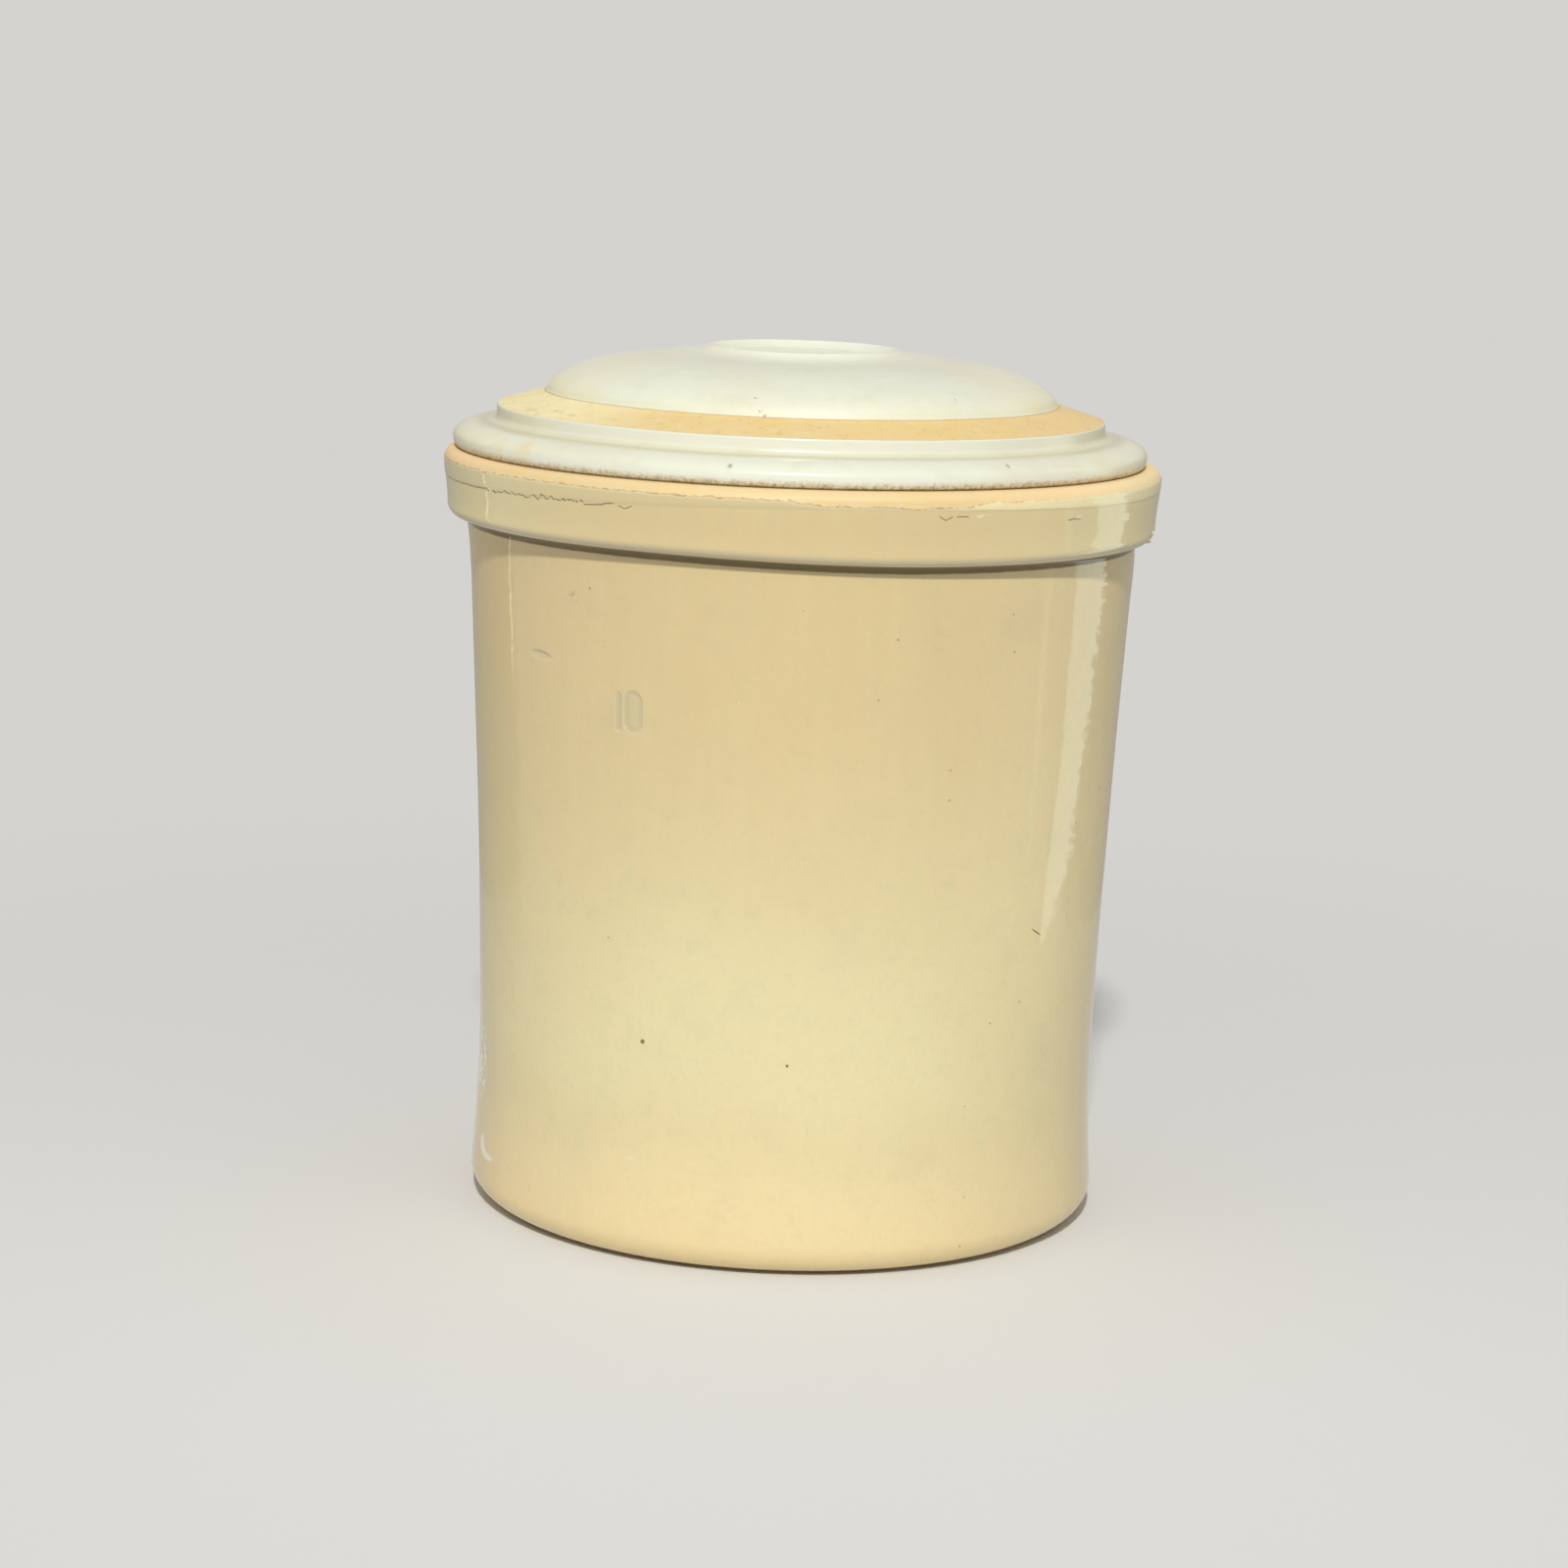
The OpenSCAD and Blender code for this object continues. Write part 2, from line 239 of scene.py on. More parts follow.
def crock_outline(s):
    crock_h, collar_z = s.neck_z - s.neck_rise, collar_low(s)
    low_r = s.collar_r - s.collar_taper - s.collar_bead
    foot_z = s.foot_edge_h + s.foot_round
    foot = (body_r(s, foot_z) - s.foot_round, foot_z)
    under_z = collar_z - s.collar_fillet
    outside = [(0.0, 0.0), (foot[0] - s.foot_edge_in, 0.0), (foot[0] - s.foot_edge_in, s.foot_edge_h)]
    outside += arc(foot, s.foot_round, s.foot_round, -90, 0, 12)
    outside += wall_points(s, foot_z, under_z, 0.0, 60)

    fillet, edge = s.collar_fillet, s.collar_round
    low_round = min(edge, (low_r - body_r(s, collar_z)) * 0.55)
    face_low, face_top = collar_z + low_round, crock_h - edge
    shares = [i / 24 for i in range(1, 24)]
    collar = arc((body_r(s, under_z) + fillet, under_z), fillet, fillet, 180, 90, 4)
    collar += arc((low_r - low_round, face_low), low_round, low_round, -90, 0, 8)
    collar += [(low_r + s.collar_taper * t + s.collar_bead * soft_step(0.1, 0.9, t),
                face_low + (face_top - face_low) * t) for t in shares]
    collar += arc((s.collar_r - edge, face_top), edge, edge, 0, 90, 10)

    out_r = s.collar_r - s.collar_wall
    in_r = out_r - s.channel_w
    mouth_r = in_r - s.neck
    floor_z = collar_z + s.channel_floor
    land, fillet, edge = s.land_round, s.channel_fillet, s.neck_round
    channel = arc((out_r + land, crock_h - land), land, land, 90, 180, 4)
    channel += arc((out_r - fillet, floor_z + fillet), fillet, fillet, 0, -90, 5)
    channel += arc((in_r + fillet, floor_z + fillet), fillet, fillet, 270, 180, 5)
    channel += arc((in_r - edge, s.neck_z - edge), edge, edge, 0, 90, 6)
    channel += arc((mouth_r + edge, s.neck_z - edge), edge, edge, 90, 180, 6)

    low_z = collar_z - s.shoulder_h
    inner_r = body_r(s, low_z) - s.wall
    bend = 2 * math.atan((inner_r - mouth_r) / s.shoulder_h)
    curve = s.shoulder_h / (2 * math.sin(bend))
    corner_z = s.floor + s.floor_fillet
    corner = (body_r(s, corner_z) - s.wall - s.floor_fillet, corner_z)
    inside = arc((mouth_r + curve, collar_z), curve, curve, 180, 180 + math.degrees(bend), 6)
    inside += arc((inner_r - curve, low_z), curve, curve, math.degrees(bend), 0, 6)
    inside += wall_points(s, low_z, corner_z, s.wall, 34)
    inside += arc(corner, s.floor_fillet, s.floor_fillet, 0, -90, 8) + [(0.0, s.floor)]
    return joined(outside, collar, channel, inside, longest=14 * MM)


def lid_outline(s):
    out_r = s.seat_r + s.flange_edge - s.flange_w
    in_r = out_r - s.ring_w
    flange_z = s.seat_z + s.flange_h
    out_z = flange_z + s.step_h
    in_z = out_z + s.ring_rise
    dome_z = in_z + s.dome_h
    skirt_in = s.skirt_r - s.skirt
    low = LID_LOW.z + s.skirt_round
    edge, fillet = s.skirt_round, s.ceiling_fillet
    fillet_r = skirt_in - fillet
    ceiling = out_z - s.wall + (out_r - fillet_r) * s.ring_rise / s.ring_w - fillet
    under = [(0.0, dome_z - s.wall)]
    under += arc((s.dome_flat_r, in_z - s.wall), in_r - s.wall - s.dome_flat_r, s.dome_h, 90, 0, 16)
    under += arc((fillet_r, ceiling), fillet, fillet, 90, 0, 6)
    under += arc((skirt_in + edge, low), edge, edge, 180, 270, 4)
    under += arc((s.skirt_r - edge, low), edge, edge, -90, 0, 4) + [(s.skirt_r, s.seat_z)]

    cove, edge = s.cove, s.step_round
    flange = arc((s.seat_r, s.seat_z + s.flange_low), s.flange_edge, s.flange_low, -90, 0, 12)
    flange += arc((out_r + cove, s.seat_z + s.flange_low), s.flange_w - cove,
                  s.flange_h - s.flange_low, 0, 90, 24)
    flange += arc((out_r + cove, flange_z + cove), cove, cove, 270, 180, 8)
    flange += arc((out_r - edge, out_z - edge), edge, edge, 0, 75, 5)
    dome_w = in_r - s.dome_flat_r
    dome_end = math.degrees(math.acos((s.crown_r - s.dome_flat_r) / dome_w))
    foot = [(in_r + 1.2 * MM, in_z - 0.35 * MM), (in_r + 0.3 * MM, in_z + 0.3 * MM)]
    dome = foot + arc((s.dome_flat_r, in_z), dome_w, s.dome_h, 3, dome_end, 28)
    crown_z = dome_z + s.crown_h
    edge = s.crown_round
    recess_z = crown_z - s.recess
    crown = arc((s.crown_r - s.crown_w / 2, crown_z - edge), edge, edge, 50, 130, 8)
    crown += [(s.crown_r - s.crown_w, recess_z + 0.35 * MM),
              (s.crown_r - s.crown_w - 1.6 * MM, recess_z), (0.0, recess_z)]
    return joined(under, flange, dome, crown, longest=6 * MM)


# Mesh helpers

def turned(points, around):
    """A closed solid turned about Z from an outline that starts and ends on the axis."""
    bm = bmesh.new()
    chain = [bm.verts.new((r, 0.0, z)) for r, z in points]
    edges = [bm.edges.new(pair) for pair in zip(chain, chain[1:])]
    bmesh.ops.spin(bm, geom=chain + edges, cent=(0, 0, 0), axis=(0, 0, 1), angle=math.tau,
                   steps=around, use_merge=True)
    bmesh.ops.remove_doubles(bm, verts=bm.verts, dist=1e-6)
    bmesh.ops.recalc_face_normals(bm, faces=bm.faces)
    return bm


def finer(bm, wanted, cuts):
    """Splits the faces whose middle is wanted into smaller ones."""
    faces = [f for f in bm.faces if wanted(f.calc_center_median())]
    edges = {e for f in faces for e in f.edges}
    bmesh.ops.subdivide_edges(bm, edges=list(edges), cuts=cuts, use_grid_fill=True)


def reshape(bm, move, marks):
    """Moves each vertex out and up by move(co), and in by the depth marks(co), which it keeps."""
    layer = bm.verts.layers.float.new("hollow")
    for v in bm.verts:
        radius = math.hypot(v.co.x, v.co.y)
        if radius < 1e-5:
            continue
        out, up = move(v.co)
        depth = marks(v.co)
        v[layer] = depth / MM
        stretch = 1 + (out - depth) / radius
        v.co.x *= stretch
        v.co.y *= stretch
        v.co.z += up


def piece(bm, name, node, material):
    """The finished mesh as an object that stands for a CAD node and moves with its body."""
    mesh = bpy.data.meshes.new(name)
    for face in bm.faces:
        face.smooth = True
    bm.to_mesh(mesh)
    bm.free()
    made = bpy.data.objects.new(name, mesh)
    bpy.context.scene.collection.objects.link(made)
    mesh.materials.append(material)
    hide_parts(node)
    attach(made, node)


def soft_step(low, high, x):
    t = min(1.0, max(0.0, (x - low) / (high - low)))
    return t * t * (3 - 2 * t)


def bell(x, half):
    return math.exp(-(x / half) ** 2)


def around_z(co):
    """Angle of a point about Z, in radians: 0 is the front and a positive angle is to the right."""
    return math.atan2(co.x, -co.y)


def on_wall(co, angle, height, radius):
    """How far to the right of a mark on the wall and how far above it a point lies, in metres."""
    return (around_z(co) - math.radians(angle)) * radius, co.z - height


def turned_by(u, w, degrees):
    """The same place, seen along an axis that climbs to the right by so many degrees."""
    a = math.radians(degrees)
    return u * math.cos(a) + w * math.sin(a), w * math.cos(a) - u * math.sin(a)


# The crock

TEN_ANGLE, TEN_Z = -29.2, 309.3 * MM
TEN_R = 187 * MM
DIGIT_H, DIGIT_DEEP = 23.3 * MM, 0.5 * MM
ONE_U, ONE_HALF, ONE_SLANT = -6.0 * MM, 2.7 * MM, 1.15
ZERO_U, ZERO_HALF_W, ZERO_STROKE = 3.3 * MM, 4.3 * MM, 1.75 * MM
DENT_ANGLE, DENT_Z = -48.6, 332.6 * MM
DENT_HALF_L, DENT_HALF_H, DENT_DEEP = 11.5 * MM, 3.0 * MM, 1.5 * MM
TICK_ANGLE, TICK_Z = -40.8, 368.4 * MM
CHIP_ANGLE, CHIP_Z = 76.5, 399.5 * MM
CRUMBS = ((79.3, 403.4, 0.9), (78.6, 398.6, 1.5))
HAIR_ANGLE, HAIR_Z = 49.2, 186.2 * MM
NAIL_ANGLE, NAIL_Z = -69.0, 37.5 * MM
NICKS = ((-27.5, 3.0, 0.075, 1.3), (21.7, 5.6, 0.11, 1.2),
         (24.4, 3.6, 0.0, 1.1), (46.0, 6.1, -0.02, 1.6))
SAG_START, SAG_END, SAG = math.radians(-34.8), math.radians(-28), 2.2 * MM
LIGHT_NICKS = ((27.4, 423.5, 3.0), (47.0, 420.3, 3.6))
SCUFF_ANGLE, SCUFF_Z = -77.0, 83.0 * MM
RUB_ANGLE, RUB_Z = -27.5, 60.0 * MM
BODY_SPECKS = ((-25.7, 126.7, 1.7), (0.5, 120.2, 1.1), (16.2, 356.0, 0.9), (27.0, 283.5, 0.8),
               (27.2, 267.0, 0.9), (38.8, 138.5, 0.8), (-146.0, 205.0, 1.2), (152.0, 88.0, 0.9))


def number_depth(u, w):
    """Depth of the pressed 10, whose strokes are deeper than the middle of the 0."""
    half = DIGIT_H / 2
    aside = abs(u - ONE_U)
    roof = (half - ONE_SLANT * aside - w) / math.hypot(1, ONE_SLANT)
    one = min(ONE_HALF - aside, roof, w + half)
    straight = half - ZERO_HALF_W - ZERO_STROKE
    ring = math.hypot(u - ZERO_U, w - max(-straight, min(straight, w))) - ZERO_HALF_W
    pressed = soft_step(-0.3 * MM, 0.8 * MM, max(one, ZERO_STROKE - ring))
    cut = soft_step(-0.2 * MM, 0.7 * MM, max(one - 0.9 * MM, ZERO_STROKE - abs(ring)))
    return DIGIT_DEEP * (0.55 * pressed + 0.45 * cut)


def crock_marks(s, co):
    """Depth of the stamped number and of the small dents at a point, in metres."""
    collar_z = collar_low(s)
    if math.hypot(co.x, co.y) < body_r(s, min(co.z, collar_z)) - 4 * MM:
        return 0.0
    if co.z > collar_z - 5 * MM:
        u, w = on_wall(co, CHIP_ANGLE, CHIP_Z, s.collar_r)
        depth = 0.9 * MM * bell(u, 4.0 * MM) * bell(w, 2.6 * MM)
        for angle, height, half in CRUMBS:
            away = math.hypot(*on_wall(co, angle, height * MM, s.collar_r))
            depth -= 1.5 * half * MM * bell(away, half * MM)
        return depth
    depth = 0.0
    u, w = on_wall(co, TEN_ANGLE, TEN_Z, TEN_R)
    if abs(u) < 16 * MM and abs(w) < 18 * MM:
        depth += number_depth(u, w)
    u, w = turned_by(*on_wall(co, DENT_ANGLE, DENT_Z, TEN_R), -4)
    bulge = 1 - (u / DENT_HALF_L) ** 2
    if bulge > 0:
        rise = 0.5 + w / (2 * DENT_HALF_H * bulge)
        if 0 < rise < 1:
            depth += DENT_DEEP * bulge * rise ** 1.3 * soft_step(0, 0.3, 1 - rise)
    u, w = turned_by(*on_wall(co, TICK_ANGLE, TICK_Z, TEN_R), 35)
    return depth + 0.9 * MM * bell(u, 2.9 * MM) * bell(w, 1.1 * MM)


HUMP_AT, HUMP_HALF = 0.09, 1.16
DROOP_START, DROOP_END, DROOP_LIFT = -0.5, 0.45, 0.4 * MM
DIP_START, DIP_END = -4, 31


def bare_line(s, angle):
    """Height of the edge of the collar's glaze at an angle."""
    start, end = math.radians(DIP_START), math.radians(DIP_END)
    dip = soft_step(start, start + 0.15, angle) * (1 - soft_step(end - 0.12, end, angle))
    return s.bare_z - s.bare_dip * dip


def fold_line(s, angle):
    """Height of the wandering fold in the collar's glaze at an angle."""
    hump = 1 - soft_step(0, HUMP_HALF, abs(angle - HUMP_AT))
    return s.fold_z + s.fold_lean * math.sin(angle) + s.fold_hump * hump


def crock_shape(s, co):
    """How far a point of the crock moves out and up, because it was thrown by hand."""
    angle, radius = around_z(co), math.hypot(co.x, co.y)
    way = Vector((math.sin(angle), math.cos(angle), co.z * 6))
    out = (-0.4 + noise.noise(way * 1.3) * 0.3 + noise.noise(way * 3.1) * 0.18) * MM
    if radius > body_r(s, co.z) - 4 * MM and co.z > s.foot_edge_h:
        ripple = math.sin(co.z / (4.6 * MM) + 2.5 * noise.noise(way * 2.0))
        out += 0.015 * MM * ripple * (0.6 + noise.noise(way * 2.7))
    if radius > s.collar_r - s.collar_wall:
        out += 0.2 * MM
        fold = co.z - fold_line(s, angle)
        bare = soft_step(-0.6 * MM, 0.6 * MM, co.z - bare_line(s, angle))
        bead = soft_step(-0.7 * MM, 0.7 * MM, fold) * (1 - bare)
        out += 0.3 * MM * bead - s.glaze * bare
    collar_z = collar_low(s)
    inside = radius < body_r(s, min(co.z, collar_z)) - 4 * MM
    channel = co.z > collar_z + 2 * MM and radius < s.collar_r - 10 * MM
    if inside or channel:
        return out, 0.0
    low = soft_step(collar_z - 20 * MM, collar_z - 4 * MM, co.z)
    low *= 1 - soft_step(collar_z + 5 * MM, collar_z + 20 * MM, co.z)
    fall = s.droop * soft_step(DROOP_START, DROOP_END, math.sin(angle))
    return out, (DROOP_LIFT - fall) * low


def near_marks(co):
    """Is a point of the wall near the stamped number or one of the small dents?"""
    if math.hypot(co.x, co.y) < 178 * MM:
        return False
    for angle, height, half in ((TEN_ANGLE, TEN_Z, 15 * MM), (DENT_ANGLE, DENT_Z, 11 * MM),
                                (TICK_ANGLE, TICK_Z, 6 * MM), (CHIP_ANGLE, CHIP_Z, 12 * MM)):
        u, w = on_wall(co, angle, height, TEN_R)
        if abs(u) < half and abs(w) < half:
            return True
    return False


class JAR_OT_crock(bpy.types.Operator):
    """Turn the crock, with its collar, water channel and stamped capacity"""

    bl_idname = "jar.crock"
    bl_label = "Crock"

    def execute(self, context):
        s = values("jar_crock")
        bm = turned(crock_outline(s), around=320)
        finer(bm, near_marks, cuts=8)
        reshape(bm, lambda co: crock_shape(s, co), lambda co: crock_marks(s, co))
        for v in bm.verts:
            v.co.x -= s.aside * soft_step(s.bare_z - 55 * MM, s.bare_z - 30 * MM, v.co.z)
        piece(bm, "glazed_crock", "crock", crock_finish(s))
        return {"FINISHED"}


# The lid

LID_PITS = ((-10.7, 446.9, 1.1), (35.3, 448.5, 1.0), (-7.7, 469.2, 0.9), (-8.9, 472.0, 0.6),
            (37.5, 479.0, 0.5), (8.9, 458.0, 0.5), (118.0, 447.5, 1.0), (-141.0, 474.0, 0.9))
STAINS = ((-57.0, 442.0, 11.0), (-50.0, 444.5, 9.0))
RING_DENTS = ((-62.0, 462.5, 4.0), (-55.5, 463.6, 5.0), (-49.0, 463.0, 6.0), (104.0, 464.0, 5.0))


def lid_shape(s, co):
    """How far a point of the lid moves out and up, because it was thrown by hand."""
    angle, radius = around_z(co), math.hypot(co.x, co.y)
    way = Vector((math.sin(angle), math.cos(angle), co.z * 9))
    out = (-0.35 + 0.25 * noise.noise(way * 1.4) + 0.12 * noise.noise(way * 4.0)) * MM
    up = 0.0
    if co.z > s.seat_z + 2 * MM:
        up = (-0.22 + 0.2 * noise.noise(way * 1.9 + Vector((4, 0, 0)))) * MM
        wheel = math.sin(radius / (2.1 * MM) + 2 * noise.noise(way * 1.5))
        up += 0.015 * MM * wheel * soft_step(20 * MM, 60 * MM, radius)
    return out, up


def lid_marks(s, co):
    """Depth of the pits in the lid's glaze and of the dents in its ring at a point, in metres."""
    if co.z < s.seat_z + 2 * MM:
        return 0.0
    radius = math.hypot(co.x, co.y)
    depth = 0.0
    for pit_angle, pit_z, pit_r in LID_PITS:
        u, w = on_wall(co, pit_angle, pit_z * MM, radius)
        depth += 0.5 * MM * bell(math.hypot(u, w), pit_r * MM * 1.3)
    for dent_angle, dent_z, dent_w in RING_DENTS:
        u, w = on_wall(co, dent_angle, dent_z * MM, radius)
        depth += 0.45 * MM * bell(u, dent_w * MM) * bell(w, 0.5 * MM)
    return depth


def near_pits(co):
    radius = math.hypot(co.x, co.y)
    if radius < 100 * MM or co.z < LID_LOW.z + 21 * MM:
        return False
    places = [on_wall(co, a, z * MM, radius) for a, z, _ in LID_PITS + RING_DENTS]
    return any(abs(u) < 6 * MM and abs(w) < 4 * MM for u, w in places)


class JAR_OT_lid(bpy.types.Operator):
    """Turn the lid, with its skirt, rolled flange, bare ring, dome and crown"""

    bl_idname = "jar.lid"
    bl_label = "Lid"

    def execute(self, context):
        s = values("jar_lid")
        bm = turned(lid_outline(s), around=288)
        finer(bm, near_pits, cuts=3)
        reshape(bm, lambda co: lid_shape(s, co), lambda co: lid_marks(s, co))
        bmesh.ops.translate(bm, verts=bm.verts, vec=(-s.aside, 0, 0))
        piece(bm, "domed_lid", "lid", lid_finish(s))
        return {"FINISHED"}


# The weights

def half_moon(s):
    """A half moon slab on the side of +X, flat underneath, with its edges rounded."""
    radius, near = WEIGHT_HIGH.x, s.split / 2
    corner_x = near + s.corner
    corner_y = math.sqrt((radius - s.corner) ** 2 - corner_x ** 2)
    turn = math.degrees(math.atan2(corner_y, corner_x))
    notch = math.degrees(math.asin(near / s.finger_r))
    outline = arc((0, 0), radius, radius, -turn, turn, 44)
    outline += arc((corner_x, corner_y), s.corner, s.corner, turn, 180, 8)[1:]
    outline += arc((0, 0), s.finger_r, s.finger_r, 90 - notch, notch - 90, 14)
    outline += arc((corner_x, -corner_y), s.corner, s.corner, 180, 360 - turn, 8)[:-1]
    bm = bmesh.new()
    base = bm.faces.new([bm.verts.new((x, y, WEIGHT_LOW.z)) for x, y in outline])
    grown = bmesh.ops.extrude_face_region(bm, geom=[base], use_keep_orig=True)["geom"]
    lifted = [v for v in grown if isinstance(v, bmesh.types.BMVert)]
    bmesh.ops.translate(bm, verts=lifted, vec=(0, 0, WEIGHT_HIGH.z - WEIGHT_LOW.z))
    bmesh.ops.recalc_face_normals(bm, faces=bm.faces)
    rims = [e for e in bm.edges if abs(e.verts[0].co.z - e.verts[1].co.z) < 1e-6]
    bmesh.ops.bevel(bm, geom=rims, offset=s.edge_round, affect="EDGES", segments=5, profile=0.5,
                    material=-1, clamp_overlap=True)
    cuts = math.floor(radius / s.slice)
    for normal, first in (((1, 0, 0), 1), ((0, 1, 0), -cuts)):
        for k in range(first, cuts + 1):
            bmesh.ops.bisect_plane(bm, geom=bm.verts[:] + bm.edges[:] + bm.faces[:], dist=1e-6,
                                   plane_co=Vector(normal) * k * s.slice, plane_no=normal)
    return bm


class JAR_OT_weights(bpy.types.Operator):
    """Cut the two half moon weights that lie on the crock's floor"""

    bl_idname = "jar.weights"
    bl_label = "Weights"

    def execute(self, context):
        finish = clay_finish()
        for side, name in ((1, "weight_right"), (-1, "weight_left")):
            bm = half_moon(values("jar_weights"))
            if side < 0:
                bmesh.ops.scale(bm, vec=(-1, 1, 1), verts=bm.verts)
                bmesh.ops.reverse_faces(bm, faces=bm.faces)
            for v in bm.verts:
                rough = noise.noise(v.co * 38 + Vector((side * 9, 0, 0)))
                high = soft_step(WEIGHT_LOW.z, WEIGHT_LOW.z + 6 * MM, v.co.z)
                v.co.z -= (0.35 + 0.3 * rough) * MM * high
            piece(bm, "stone_" + name, name, finish)
        return {"FINISHED"}


# Finishes

class Tap:
    """One output of a shader node. Sums with it add Math nodes beside it."""

    def __init__(self, nodes, socket):
        self.nodes = nodes
        self.socket = socket

    def math(self, operation, *others):
        return self.nodes.node("ShaderNodeMath", {"operation": operation},
                               dict(enumerate((self, *others))))

    def __add__(self, other):
        return self.math("ADD", other)

    def __sub__(self, other):
        return self.math("SUBTRACT", other)

    def __mul__(self, other):
        return self.math("MULTIPLY", other)

    def __neg__(self):
        return self * -1.0

    def __rsub__(self, other):
        return -self + other

    __radd__ = __add__
    __rmul__ = __mul__

    def also(self, output):
        """Another output of the same node."""
        return Tap(self.nodes, self.socket.node.outputs[output])

    def sin(self):
        return self.math("SINE")

    def either(self, other):
        return self.math("MAXIMUM", other)

    def rises(self, low, high):
        """0 below low and 1 above high, with a smooth change between."""
        return self.nodes.node("ShaderNodeMapRange", {"interpolation_type": "SMOOTHSTEP"},
                               {"Value": self, "From Min": low, "From Max": high})

    def near(self, half):
        """1 at 0, falling smoothly to 0 at half to either side."""
        return 1 - self.math("ABSOLUTE").rises(0.0, half)


class Nodes:
    """A node tree that nodes are added to."""

    def __init__(self, tree):
        self.tree = tree

    def node(self, kind, settings=None, inputs=None, output=0):
        made = self.tree.nodes.new(kind)
        for name, value in (settings or {}).items():
            setattr(made, name, value)
        for name, value in (inputs or {}).items():
            if isinstance(value, Tap):
                self.tree.links.new(value.socket, made.inputs[name])
            else:
                made.inputs[name].default_value = value
        return Tap(self, made.outputs[output])


def screen(rgb):
    """A colour as it looks on a screen, turned into the linear colour that a shader takes."""
    return [c / 12.92 if c <= 0.04045 else ((c + 0.055) / 1.055) ** 2.4 for c in rgb] + [1.0]


class Finish(Nodes):
    """A procedural material, with the places on a turned piece that its patterns need."""

    def __init__(self, name):
        self.material = bpy.data.materials.new(name)
        self.material.use_nodes = True
        super().__init__(self.material.node_tree)
        self.shader = self.tree.nodes["Principled BSDF"]
        self.place = self.node("ShaderNodeTexCoord", output="Object")
        self.x = self.node("ShaderNodeSeparateXYZ", {}, {"Vector": self.place}, "X")
        self.y, self.z = self.x.also("Y"), self.x.also("Z")
        self.radius = (self.x * self.x + self.y * self.y).math("SQRT")
        self.angle = self.x.math("ARCTAN2", -self.y)
        self.side = self.angle.sin()
        self.around = self.angle.math("ABSOLUTE")

    def flanks(self, start, full):
        """1 at the left and right, and 0 in front and at the back."""
        return self.around.rises(start, full) * (1 - self.around.rises(1.7, 2.3))

    def moved(self, shift, stretch=(1, 1, 1)):
        return self.node("ShaderNodeMapping", {}, {"Vector": self.place, "Scale": stretch,
                                                   "Location": shift})

    def cloud(self, scale, detail=3.0, rough=0.55, stretch=(1, 1, 1), shift=(0, 0, 0)):
        """Soft noise about 0.5, with features about 1 / scale metres across."""
        return self.node("ShaderNodeTexNoise", {}, {"Vector": self.moved(shift, stretch), "Scale": scale,
                                                    "Detail": detail, "Roughness": rough})

    def wheel(self, distance, scale, detail=3.0):
        """Noise that changes with a distance alone, as the marks of a potter's wheel do."""
        return self.node("ShaderNodeTexNoise", {"noise_dimensions": "1D"},
                         {"W": distance, "Scale": scale, "Detail": detail, "Roughness": 0.6})

    def specks(self, scale, radius, share, shift=(0, 0, 0)):
        """1 inside small round specks that fill only a share of cells about 1 / scale metres wide."""
        cell = self.node("ShaderNodeTexVoronoi", {}, {"Vector": self.moved(shift), "Scale": scale})
        chance = self.node("ShaderNodeSeparateColor", {}, {"Color": cell.also("Color")})
        return (1 - cell.rises(radius * 0.6, radius)) * (1 - chance.rises(share, share + 0.02))

    def broken(self, height, shift):
        """1 above the height's zero line, where that line follows the edges of small cells."""
        cell = self.node("ShaderNodeTexVoronoi", {}, {"Vector": self.moved(shift), "Scale": 420.0},
                         "Position")
        cell_z = self.node("ShaderNodeSeparateXYZ", {}, {"Vector": cell}, "Z")
        return (cell_z - self.z + height).rises(-1e-5, 1e-5)

    def blend(self, share, below, above):
        """The colour below, turning into the colour above as share goes from 0 to 1."""
        return self.node("ShaderNodeMix", {"data_type": "RGBA"},
                         {0: share, 6: below, 7: above}, 2)

    def spot(self, angle, height, radius, half_u, half_w, slope=0.0):
        """1 in the middle of an oval on the wall, falling to 0 at its edge."""
        u = (self.angle - math.radians(angle)) * radius
        w = (self.z - height) - u * slope
        u, w = u * (1 / half_u), w * (1 / half_w)
        return 1 - (u * u + w * w).rises(0.2, 1.0)

    def arc_share(self, start, end, soft):
        """1 between two angles about Z in degrees, and 0 beyond them."""
        start, end, soft = (math.radians(a) for a in (start, end, soft))
        return self.angle.rises(start, start + soft) * (1 - self.angle.rises(end - soft, end))

    def done(self, base, roughness, height, specular=0.5):
        """Ties the colour, the roughness and a relief in millimetres to the shader."""
        relief = self.node("ShaderNodeBump", {}, {"Height": height, "Distance": MM, "Strength": 1.0})
        for name, tap in (("Base Color", base), ("Roughness", roughness), ("Normal", relief)):
            self.tree.links.new(tap.socket, self.shader.inputs[name])
        self.shader.inputs["Specular IOR Level"].default_value = specular
        return self.material


